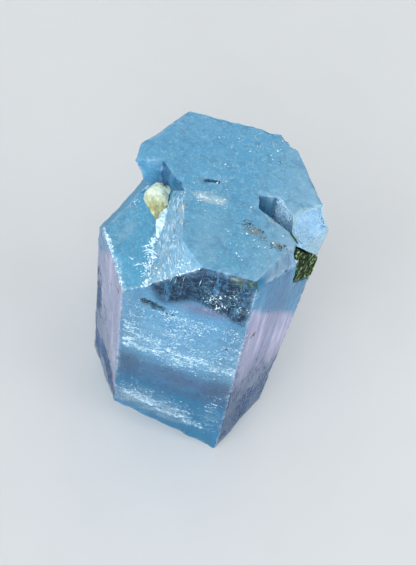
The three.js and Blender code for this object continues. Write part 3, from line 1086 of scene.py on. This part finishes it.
def flake_material(name, tint, roughness, dark=None, fineness=900.0):
    """Opaque pearly flakes whose shade varies from spot to spot."""
    material, tree = new_material(name)
    grain = speckle(tree, stretched(tree), fineness)
    low = np.asarray(tint) * 0.72 if dark is None else dark
    shade = mixed(tree, ranged(tree, grain, 0.42, 0.58, 0.0, 1.0), colour4(low), colour4(tint))
    rough = ranged(tree, grain, 0.3, 0.7, roughness - 0.1, roughness + 0.15)
    shader = add(tree, "ShaderNodeBsdfPrincipled", {"Base Color": shade, "Roughness": rough})
    shader.inputs["IOR"].default_value = 1.5
    surface(tree, shader)
    return material


# Feldspar grain


def closed_stack(rings, ends):
    """Closed surface through rings of points, one after the other, with a point at either end."""
    count, around = rings.shape[:2]
    k = np.arange(around)
    after = (k + 1) % around
    total, last = count * around, (count - 1) * around
    caps = [together(total, k, after), together(total + 1, last + after, last + k)]
    points = np.concatenate([rings.reshape(-1, 3), ends])
    return points, np.concatenate([ring_faces(count, around), *caps])


def closed_ball(count, around):
    """Unit directions on a grid of polar and compass angles, with one point at each pole."""
    polar = np.linspace(0, math.pi, count + 1)[1:-1]
    turn = np.arange(around) * 2 * math.pi / around
    p, t = np.meshgrid(polar, turn, indexing="ij")
    rings = np.stack([np.sin(p) * np.cos(t), np.sin(p) * np.sin(t), np.cos(p)], axis=-1)
    return closed_stack(rings, [UP, -UP])


def turned(points, angle, axis):
    """Points turned by degrees about an axis."""
    return points @ np.array(Matrix.Rotation(math.radians(angle), 3, axis)).T


def grain_shape(look):
    """Lumpy grain: unit direction times 1 + lumps, cut by random flat facets (the nearest of
    their planes along each direction), narrowed along its length, broken off level at its broad
    end, laid along the ledge, pressed flat where it meets the ledge and the walls, then crumbled
    by noise."""
    unit, faces = closed_ball(110, 150)
    random = np.random.default_rng(GRAIN_SEED)
    facets = random.normal(0, 1, (34, 3))
    facets /= np.linalg.norm(facets, axis=1, keepdims=True)
    cut = (random.uniform(0.9, 1.06, 34) / np.maximum(unit @ facets.T, 0.05)).min(axis=1)
    unit = unit * np.minimum(cut, 1.12)[:, None]
    x, y, z = unit.T
    y = np.minimum(y, 0.45 + 0.12 * x)
    lumps = np.sin(3.1 * x + 1.3 * y) * np.cos(2.7 * y - 2.2 * z)
    swell = 1 + 0.17 * (lumps + 0.45 * np.sin(6.3 * y + 2.1 * x + 0.7))
    narrow = 1 + 0.56 * y + 0.2 * smooth(0.1, 0.5, y) - 0.16 * smooth(0.1, -0.4, y)
    points = together(x * narrow, y, z * np.minimum(narrow, 1.1)) * swell[:, None] * (2.2, 3.6, 2.6)
    points = turned(turned(points, 11.5, "Z"), 50.5 - 90, "Y") + (-9.9, -1.1, 56.4)
    middle = np.array([-10.52, -0.79, 57.06])
    reach = np.ones(len(points))
    for name in ("ledge", "wall_front", "wall_striped", "crushed"):
        normal, offset = plane_of(name)
        fall = (points - middle) @ normal
        room = offset + 0.02 - middle @ normal
        reach = np.minimum(reach, np.where(fall < room, room / np.minimum(fall, -1e-6), 1))
    points = middle + (points - middle) * reach[:, None]
    out = points - middle
    out /= np.linalg.norm(out, axis=1, keepdims=True)
    x, y, _ = points.T
    rough = 0.24 * layers(points, 1.7, 61) - 0.22 * np.abs(layers(points * (0.8, 1.5, 1.0), 1.5, 67))
    rough += 0.14 * np.sin(3.6 * y + 1.4 * x) * smooth(0.0, -1.6, y)
    rough += 0.05 * noise(points, 0.35, 71)
    points = points + out * (look.crumble * rough * smooth(0.2, 1.0, reach))[:, None]
    upper = smooth(-3.2, -0.4, points[:, 1] + 0.8 * layers(points, 1.6, 73))
    crown = points[np.argmax(points @ np.array([0.0, 0.8, 0.6]))]
    head = spot(points, crown + (0.0, -0.2, 0.0), (0.6, 0.5, 0.8))
    foot = spot(points, (-10.9, -4.3, 55.6), (0.5, 0.7, 0.8))
    cream, straw, moss = (linear(c) for c in ((206, 226, 212), (184, 184, 128), (28, 52, 18)))
    colour = straw + (cream - straw) * upper[:, None]
    # Painted shade: darker along the creases, less so on the cream side.
    crease_shade = smooth(0.25, 0.0, np.abs(layers(points * (0.8, 1.5, 1.0), 1.5, 67)))
    colour *= (1 - 0.35 * crease_shade * (1 - 0.6 * upper))[:, None]
    colour += (moss - colour) * np.clip(1.4 * head + 1.1 * foot, 0, 1)[:, None]
    return points, faces, colour


def grain_material():
    """Cream feldspar with olive crumbs and pale veins."""
    material, tree = new_material("feldspar")
    body = attribute(tree, "colour_and_painted_light", "Color")
    crumb = speckle(tree, stretched(tree), 1500.0, 4.0, 0.65)
    vein = speckle(tree, stretched(tree, (900, 300, 500)), 1.0)
    shade = mixed(tree, ranged(tree, crumb, 0.35, 0.6, 0.55, 0.0), body, screen4(120, 128, 84))
    shade = mixed(tree, ranged(tree, vein, 0.55, 0.7, 0.0, 0.6), shade, screen4(238, 246, 236))
    rough = ranged(tree, crumb, 0.3, 0.7, 0.5, 0.9)
    bump = add(tree, "ShaderNodeBump", {"Height": crumb, "Strength": 0.6, "Distance": 0.0002})
    inputs = {"Base Color": shade, "Roughness": rough, "Normal": bump.outputs[0]}
    surface(tree, add(tree, "ShaderNodeBsdfPrincipled", inputs))
    return material


def tail_shape():
    """White crumbly tongue below the grain: a long ball laid along the crease between ledge and
    slope, thin towards its end, its surface broken by ridged noise."""
    unit, faces = closed_ball(70, 90)
    t = unit[:, 1:2]
    thin = np.clip(0.95 + 0.30 * t, 0.3, 1.3)
    points = unit * (1.2, 3.0, 0.85) * np.concatenate([thin, np.ones_like(t), thin], axis=1)
    points = turned(turned(points, 4, "Z"), 20, "X") + (-8.2, -5.0, 55.7)
    rough = 0.30 * layers(points, 1.3, 107) - 0.30 * np.abs(layers(points * (1.5, 0.6, 1.0), 0.8, 109))
    return points + unit * (rough + 0.06 * noise(points, 0.3, 113))[:, None], faces


# Green mica


def mica_outline(along):
    """Upper and lower edge of the mica at a distance along the right face."""
    upper = np.interp(along, [1.3, 11.5], [60.7, 50.2])
    lower = np.interp(along, [1.3, 1.9, 2.5, 5.2, 8.4, 11.5], [61.0, 57.0, 50.9, 48.9, 47.2, 45.9])
    return upper, lower


def mica_shape(look):
    """Fibrous filling of the hollow: a grid of distance along the right face and height, its
    front raised by ridged noise drawn out along slanting fibres, its back flat on the hollow."""
    along = np.linspace(1.55, 11.0, 150)[:, None]
    s = np.linspace(0, 1, 170)[None, :]
    upper, lower = mica_outline(along)
    lower = np.minimum(lower, upper - 0.15)
    height = lower + (upper - lower) * s
    along = np.broadcast_to(along, height.shape)
    fibre = np.stack([(along - 0.25 * (height - 54)) * 3.2, height * 0.32, along * 0], axis=-1)
    ridges = 1 - 2 * np.abs(layers(fibre, 1.4, 83))
    frayed = noise(np.stack([along, height, along * 0], axis=-1), 0.8, 89)
    edge = np.minimum(s, 1 - s) * (upper - lower)
    edge = np.minimum(edge, np.minimum(along - 1.5, 11.05 - along))
    proud = look.fibre_depth * ridges + 0.08 * frayed - 0.25 * np.exp(-edge / 0.25)

    normal, _ = plane_of("right")
    level = np.array([normal[0], normal[1], 0]) / np.hypot(normal[0], normal[1])
    side = np.array([-level[1], level[0], 0])

    def placed(depth):
        """The patch at a depth, folded over the corner and the bevel."""
        out = 17.65 + np.tan(math.radians(0.25)) * (height - TOP)
        flat = level * out[..., None] + side * along[..., None] + UP * height[..., None]
        folded, _ = plane_of("back_right")
        over = np.maximum(height_over("back_right", flat), 0)[..., None]
        flat = flat - folded * over
        slope, _ = plane_of("bevel")
        flat = flat - slope * np.maximum(height_over("bevel", flat), 0)[..., None]
        return flat + np.where(over > 0, folded, normal) * depth[..., None]

    front = placed(proud - 0.12)
    back = placed(np.full_like(proud, -1.75))
    loop = np.concatenate([front, back[:, ::-1]], axis=1)
    points, faces = closed_stack(loop, [loop[0].mean(axis=0), loop[-1].mean(axis=0)])
    # Paler on the crests of the fibres: a painted highlight.
    fibre_highlight = np.append(np.concatenate([ridges, ridges[:, ::-1]], axis=1), [0, 0])
    away = points - CHIP_BALL
    gap = np.linalg.norm(away, axis=1, keepdims=True)
    points = CHIP_BALL + away * np.maximum(gap, CHIP_RADIUS + 0.2) / gap
    return points, faces, np.clip(fibre_highlight, 0, 1) ** 3


def blade_bodies(random):
    """Thin green blades slanting on the mica patch."""
    n = 380
    along = random.uniform(1.7, 9.2, n)
    upper, lower = mica_outline(along)
    z = lower + (upper - lower) * random.uniform(0.05, 0.95, n)
    places = RIGHT_WAY * along[:, None] + UP * z[:, None]
    places = pressed("right", places, -random.uniform(0.05, 0.2, n))
    slope, _ = plane_of("bevel")
    places -= slope * np.maximum(height_over("bevel", places) + 0.1, 0)[:, None]
    lean = random.normal(0.35, 0.3, n)[:, None]
    axis = RIGHT_WAY * np.sin(lean) + UP * np.cos(lean)
    across = random.uniform(0.05, 0.13, n), random.uniform(0.04, 0.08, n)
    sizes = together(*across, random.uniform(0.3, 0.9, n))
    inside = np.linalg.norm(places - CHIP_BALL, axis=1) > CHIP_RADIUS + 0.15
    return flakes(5, places[inside], axis[inside], np.zeros(inside.sum()), sizes[inside])


def tip_bodies(random):
    """Row of dark green blades along the rim above the mica."""
    n = 40
    places = between([13.82, -5.5, TOP], [15.1, -6.95, TOP], random.uniform(0, 1, n)[:, None])
    places += random.normal(0, 0.06, (n, 3)) * (1, 1, 0.5)
    axis = np.array([0.66, -0.75, 0.0]) + random.normal(0, 0.1, (n, 3))
    across = random.uniform(0.04, 0.09, n), random.uniform(0.04, 0.08, n)
    sizes = together(*across, random.uniform(0.2, 0.6, n))
    return flakes(5, places, axis, np.zeros(n), sizes)


def mica_material():
    """Dark green flakes with paler raised edges: a painted highlight on the fibre crests."""
    material, tree = new_material("green_mica")
    flake = speckle(tree, stretched(tree, (700, 700, 260), (0, 0.2, 0)), 1.0, 4.0, 0.65)
    glow = ranged(tree, flake, 0.35, 0.65, 0.0, 1.0)
    shade = mixed(tree, glow, screen4(2, 10, 5), screen4(26, 54, 24))
    # Painted highlight on the fibre crests.
    fibre_highlight = ranged(tree, attribute(tree, "fibre_highlight"), 0.7, 1.0, 0.0, 0.6)
    shade = mixed(tree, fibre_highlight, shade, screen4(120, 156, 104))
    rough = ranged(tree, flake, 0.3, 0.7, 0.4, 0.65)
    bump = add(tree, "ShaderNodeBump", {"Height": flake, "Strength": 0.5, "Distance": 0.0002})
    inputs = {"Base Color": shade, "Roughness": rough, "Normal": bump.outputs[0]}
    shader = add(tree, "ShaderNodeBsdfPrincipled", inputs)
    shader.inputs["Specular IOR Level"].default_value = 0.08
    surface(tree, shader)
    return material


# Stage


def floor_material(look):
    """Plain pale floor with a faint grain."""
    material, tree = new_material("pale_floor")
    grain = speckle(tree, stretched(tree), 60.0, 3.0, 0.5)
    tint = np.array(look.floor_colour)
    shade = mixed(tree, grain, colour4(tint * 0.97), colour4(tint * 1.02))
    shader = add(tree, "ShaderNodeBsdfPrincipled", {"Base Color": shade})
    shader.inputs["Roughness"].default_value = 0.75
    surface(tree, shader)
    return material


def floor_sheet(material):
    """Flat floor of squares at the level of the foot."""
    row = FLOOR_STEPS + 1
    grid = np.linspace(-FLOOR_HALF, FLOOR_HALF, row)
    x, y = np.meshgrid(grid, grid, indexing="ij")
    points = together(x.ravel(), y.ravel(), 0.0)
    r, c = np.meshgrid(np.arange(FLOOR_STEPS), np.arange(FLOOR_STEPS), indexing="ij")
    a = (r * row + c).ravel()
    faces = together(a, a + row, a + row + 1, a + 1)
    mesh = bpy.data.meshes.new("floor")
    mesh.from_pydata((points * MM).tolist(), [], faces.tolist())
    mesh.materials.append(material)
    made = bpy.data.objects.new("floor", mesh)
    bpy.context.scene.collection.objects.link(made)
    return made


def soft_world(look):
    """Even sky, brighter overhead and dimmer at the level, with one broad soft bright patch."""
    world = bpy.data.worlds.new("studio")
    world.use_nodes = True
    tree = world.node_tree
    tree.nodes.clear()
    place = add(tree, "ShaderNodeTexCoord").outputs["Generated"]
    up = add(tree, "ShaderNodeSeparateXYZ", {"Vector": place}).outputs["Z"]
    light = ranged(tree, up, 0.0, 0.9, look.sky_level, look.sky_overhead)
    inputs = {0: place, 1: tuple(look.key_direction)}
    towards = add(tree, "ShaderNodeVectorMath", inputs, operation="DOT_PRODUCT").outputs["Value"]
    patch = ranged(tree, towards, 0.72, 0.95, 0.0, look.key_strength)
    total = add(tree, "ShaderNodeMath", {0: light, 1: patch}, operation="ADD").outputs[0]
    background = add(tree, "ShaderNodeBackground", {"Color": (0.95, 0.98, 1.0, 1.0), "Strength": total})
    output = add(tree, "ShaderNodeOutputWorld")
    tree.links.new(background.outputs[0], output.inputs["Surface"])
    bpy.context.scene.world = world


def soft_light(name, place, target, size, power):
    """Round lamp aimed at a target."""
    lamp = bpy.data.lights.new(name, "AREA")
    lamp.shape = "DISK"
    lamp.size = size
    lamp.energy = power
    made = bpy.data.objects.new(name, lamp)
    made.location = place
    made.rotation_euler = (Vector(target) - Vector(place)).to_track_quat("-Z", "Y").to_euler()
    bpy.context.scene.collection.objects.link(made)


def photo_camera(look):
    """Camera on a ray from the target at the given compass angle and height, rolled so that the
    long axis of the prism leans in the picture."""
    a, e, roll = look.azimuth, look.elevation, look.roll
    ahead = Vector((math.sin(a) * math.cos(e), math.cos(a) * math.cos(e), -math.sin(e)))
    level = Vector((math.cos(a), -math.sin(a), 0))
    above = level.cross(ahead)
    right = level * math.cos(roll) + above * math.sin(roll)
    up = above * math.cos(roll) - level * math.sin(roll)
    data = bpy.data.cameras.new("camera")
    data.lens = look.lens
    data.sensor_width = SENSOR_WIDTH
    data.clip_start = 0.01
    camera = bpy.data.objects.new("camera", data)
    place = Vector(look.target) - ahead * look.distance
    camera.matrix_world = Matrix.Translation(place) @ Matrix((right, up, -ahead)).transposed().to_4x4()
    bpy.context.scene.collection.objects.link(camera)
    bpy.context.scene.camera = camera


class CrystalLook(bpy.types.PropertyGroup):
    relief: bpy.props.FloatProperty(
        name="Relief", description="Strength of the surface relief", default=1.0, min=0, max=2
    )
    clearness: bpy.props.FloatProperty(
        name="Clearness", description="Share of light that passes through",
        default=0.68, subtype="FACTOR", min=0, max=1,
    )
    depth_colour: bpy.props.FloatVectorProperty(
        name="Depth colour", description="Colour that the depth lets through",
        default=(0.18, 0.67, 0.86), size=3, subtype="COLOR",
    )
    depth_density: bpy.props.FloatProperty(
        name="Depth density", description="Strength of the absorption", default=36.0, min=0
    )


class VeilLook(bpy.types.PropertyGroup):
    seed: bpy.props.IntProperty(
        name="Seed", description="Start of the scatter of flakes", default=7
    )
    flake_colour: bpy.props.FloatVectorProperty(
        name="Flake colour", description="Colour of the bright flakes",
        default=(0.74, 0.88, 0.95), size=3, subtype="COLOR",
    )
    stain_colour: bpy.props.FloatVectorProperty(
        name="Stain colour", description="Colour of the rusty flecks",
        default=(0.36, 0.12, 0.045), size=3, subtype="COLOR",
    )


class GrainLook(bpy.types.PropertyGroup):
    crumble: bpy.props.FloatProperty(
        name="Crumble", description="Roughness of the feldspar grain", default=1.0, min=0, max=2
    )


class MicaLook(bpy.types.PropertyGroup):
    fibre_depth: bpy.props.FloatProperty(
        name="Fibre depth", description="Height of the mica fibres in mm", default=0.16, min=0
    )


class StageLook(bpy.types.PropertyGroup):
    floor_colour: bpy.props.FloatVectorProperty(
        name="Floor colour", description="Colour of the floor",
        default=(0.60, 0.61, 0.62), size=3, subtype="COLOR",
    )
    sky_level: bpy.props.FloatProperty(
        name="Light at the level", description="Sky brightness at the horizon", default=0.4, min=0
    )
    sky_overhead: bpy.props.FloatProperty(
        name="Light overhead", description="Sky brightness overhead", default=0.9, min=0
    )
    key_direction: bpy.props.FloatVectorProperty(
        name="Key direction", description="Where the bright patch of sky lies",
        default=(-0.25, -0.89, 0.38), size=3, subtype="DIRECTION",
    )
    key_strength: bpy.props.FloatProperty(
        name="Key strength", description="Brightness of the patch of sky", default=3.4, min=0
    )
    azimuth: bpy.props.FloatProperty(
        name="Camera azimuth", description="Compass angle the camera looks along",
        default=math.radians(-2.78), subtype="ANGLE", unit="ROTATION",
    )
    elevation: bpy.props.FloatProperty(
        name="Camera elevation", description="Height of the camera",
        default=math.radians(53.03), subtype="ANGLE", unit="ROTATION",
    )
    roll: bpy.props.FloatProperty(
        name="Camera roll", description="Lean of the picture",
        default=math.radians(12.33), subtype="ANGLE", unit="ROTATION",
    )
    distance: bpy.props.FloatProperty(
        name="Camera distance", description="From camera to target",
        default=0.190, subtype="DISTANCE", unit="LENGTH",
    )
    lens: bpy.props.FloatProperty(name="Lens", description="Focal length in mm", default=63.72)
    target: bpy.props.FloatVectorProperty(
        name="Target", description="Point the camera looks at",
        default=(0.00166, -0.00115, 0.0374), size=3, subtype="XYZ", unit="LENGTH",
    )


LOOKS = {
    "aquamarine_crystal_look": CrystalLook,
    "aquamarine_veil_look": VeilLook,
    "aquamarine_grain_look": GrainLook,
    "aquamarine_mica_look": MicaLook,
    "aquamarine_stage_look": StageLook,
}


class MakeCrystal(bpy.types.Operator):
    """The faceted crystal with relief, worn edges and coloured zones"""

    bl_idname = "aquamarine.crystal"
    bl_label = "Crystal"

    def execute(self, context):
        look = context.scene.aquamarine_crystal_look
        points, triangles = solid_triangles("aquamarine_crystal")
        tags = named_faces(points, triangles)
        limits = np.array([face[3] for face in FLAT_FACES.values()] + [OTHER_LIMIT] * 3)
        points, triangles, tags = split_long_edges(points, triangles, tags, limits)
        tags = mark_small_faces(points, triangles, tags)
        colour, milk, painted_reflection = crystal_colours(points[triangles].reshape(-1, 3), np.repeat(tags, 3))
        points, bruise = crystal_shape(points, triangles, tags, look.relief)
        crystal = new_piece(
            "crystal",
            points,
            triangles,
            beryl_finishes(look),
            "aquamarine_crystal",
            {"colour_and_painted_light": colour, "bruise": bruise, "milk": milk, "painted_reflection": painted_reflection},
            np.array([FINISH.get(name, FROSTED) for name in FACE_NAMES])[tags],
        )
        crystal.data.set_sharp_from_angle(angle=SHARP_ANGLE)
        return {"FINISHED"}


class MakeVeils(bpy.types.Operator):
    """Flakes, needles and glints at the faces of the crystal, crumbs, streaks and stains on it"""

    bl_idname = "aquamarine.veils"
    bl_label = "Veils, Crumbs and Stains"

    def execute(self, context):
        look = context.scene.aquamarine_veil_look
        glint, rust = np.array(look.flake_colour), np.array(look.stain_colour)
        milky = flake_material("milky_veil", (0.68, 0.87, 0.97), 0.5, (0.44, 0.70, 0.88))
        bright = flake_material("bright_flake", np.minimum(glint * 1.08, 0.98), 0.3)
        crumb = flake_material("crushed_beryl", (0.80, 0.94, 1.0), 0.55, (0.52, 0.78, 0.95))
        needle = flake_material("pale_needle", (0.44, 0.68, 0.88), 0.4)
        rusty = flake_material("rust_stain", rust, 0.6, rust * 0.35)
        dark = flake_material("dark_speck", (0.05, 0.042, 0.03), 0.6, (0.012, 0.01, 0.008))
        deep = flake_material("deep_flake", linear((18, 92, 122)), 0.5, linear((0, 38, 58)))
        frost = flake_material("frosted_chip", (0.54, 0.79, 0.97), 0.5, (0.38, 0.65, 0.88))
        slate = flake_material("slate_streak", linear((72, 108, 152)), 0.4, linear((44, 78, 122)))
        pieces = [
            ("milky_veils", veil_flakes, milky),
            ("needles", needle_bodies, needle),
            ("glints", glint_bodies, bright),
            ("crumbs", crumb_bodies, crumb),
            ("splinters", splinter_bodies, crumb),
            ("cracks", crack_bodies, crumb),
            ("top_glints", top_glints, bright),
            ("specks", speck_bodies, dark),
            ("shadows", shadow_bodies, deep),
            ("rust_flecks", stain_bodies, rusty),
            ("frost", frost_bodies, frost),
            ("streaks", streak_bodies, slate),
        ]
        for k, (name, shape, material) in enumerate(pieces):
            points, faces = shape(np.random.default_rng(look.seed + k))
            new_piece(name, points, faces, [material])
        return {"FINISHED"}


class MakeGrain(bpy.types.Operator):
    """The crumbly feldspar grain under the two walls"""

    bl_idname = "aquamarine.grain"
    bl_label = "Feldspar Grain"

    def execute(self, context):
        points, faces, colour = grain_shape(context.scene.aquamarine_grain_look)
        values = {"colour_and_painted_light": colour}
        new_piece("grain", points, faces, [grain_material()], "feldspar_grain", values)
        tail, tail_faces = tail_shape()
        white = flake_material("white_crumble", linear((232, 246, 244)), 0.7, linear((150, 196, 214)))
        new_piece("tail", tail, tail_faces, [white])
        return {"FINISHED"}


class MakeMica(bpy.types.Operator):
    """The fibrous green mica in the hollow of the right face"""

    bl_idname = "aquamarine.mica"
    bl_label = "Green Mica"

    def execute(self, context):
        points, faces, fibre_highlight = mica_shape(context.scene.aquamarine_mica_look)
        values = {"fibre_highlight": fibre_highlight}
        new_piece("mica", points, faces, [mica_material()], "green_mica_patch", values)
        blades, blade_faces = blade_bodies(np.random.default_rng(BLADE_SEED))
        # Blades from near black to pale green: the pale green is partly painted highlight on the
        # fibres.
        pale = flake_material("mica_blade", linear((172, 206, 140)), 0.5, linear((0, 7, 3)), 1100.0)
        new_piece("mica_blades", blades, blade_faces, [pale])
        tips, tip_faces = tip_bodies(np.random.default_rng(TIP_SEED))
        mossy = flake_material("mica_tip", linear((44, 80, 40)), 0.5, linear((6, 24, 10)), 2200.0)
        new_piece("mica_tip", tips, tip_faces, [mossy])
        return {"FINISHED"}


class MakeStage(bpy.types.Operator):
    """Pale floor, soft light and the camera"""

    bl_idname = "aquamarine.stage"
    bl_label = "Stage"

    def execute(self, context):
        look = context.scene.aquamarine_stage_look
        floor = floor_sheet(floor_material(look))
        soft_world(look)
        soft_light("fill", (0.35, -0.15, 0.35), (0, 0, 0.03), 0.40, 0.5)
        photo_camera(look)
        context.scene.view_settings.view_transform = "Standard"
        return {"FINISHED"}


class CrystalPanel(bpy.types.Panel):
    """Lists the pieces and their settings"""

    bl_idname = "VIEW3D_PT_aquamarine"
    bl_label = "Aquamarine Crystal"
    bl_space_type = "VIEW_3D"
    bl_region_type = "UI"
    bl_category = "Crystal"

    def draw(self, context):
        for operator in OPERATORS:
            self.layout.operator(operator.bl_idname)
        for key, group in LOOKS.items():
            box = self.layout.box()
            for name in group.__annotations__:
                box.prop(getattr(context.scene, key), name)


OPERATORS = [MakeStage, MakeCrystal, MakeVeils, MakeGrain, MakeMica]
CLASSES = list(LOOKS.values()) + OPERATORS + [CrystalPanel]


def register():
    for cls in CLASSES:
        bpy.utils.register_class(cls)
    for key, group in LOOKS.items():
        setattr(bpy.types.Scene, key, bpy.props.PointerProperty(type=group))


def unregister():
    for key in LOOKS:
        delattr(bpy.types.Scene, key)
    for cls in reversed(CLASSES):
        bpy.utils.unregister_class(cls)


def main():
    register()
    bpy.ops.aquamarine.stage()
    bpy.ops.aquamarine.crystal()
    bpy.ops.aquamarine.veils()
    bpy.ops.aquamarine.grain()
    bpy.ops.aquamarine.mica()


if __name__ == "__main__":
    main()
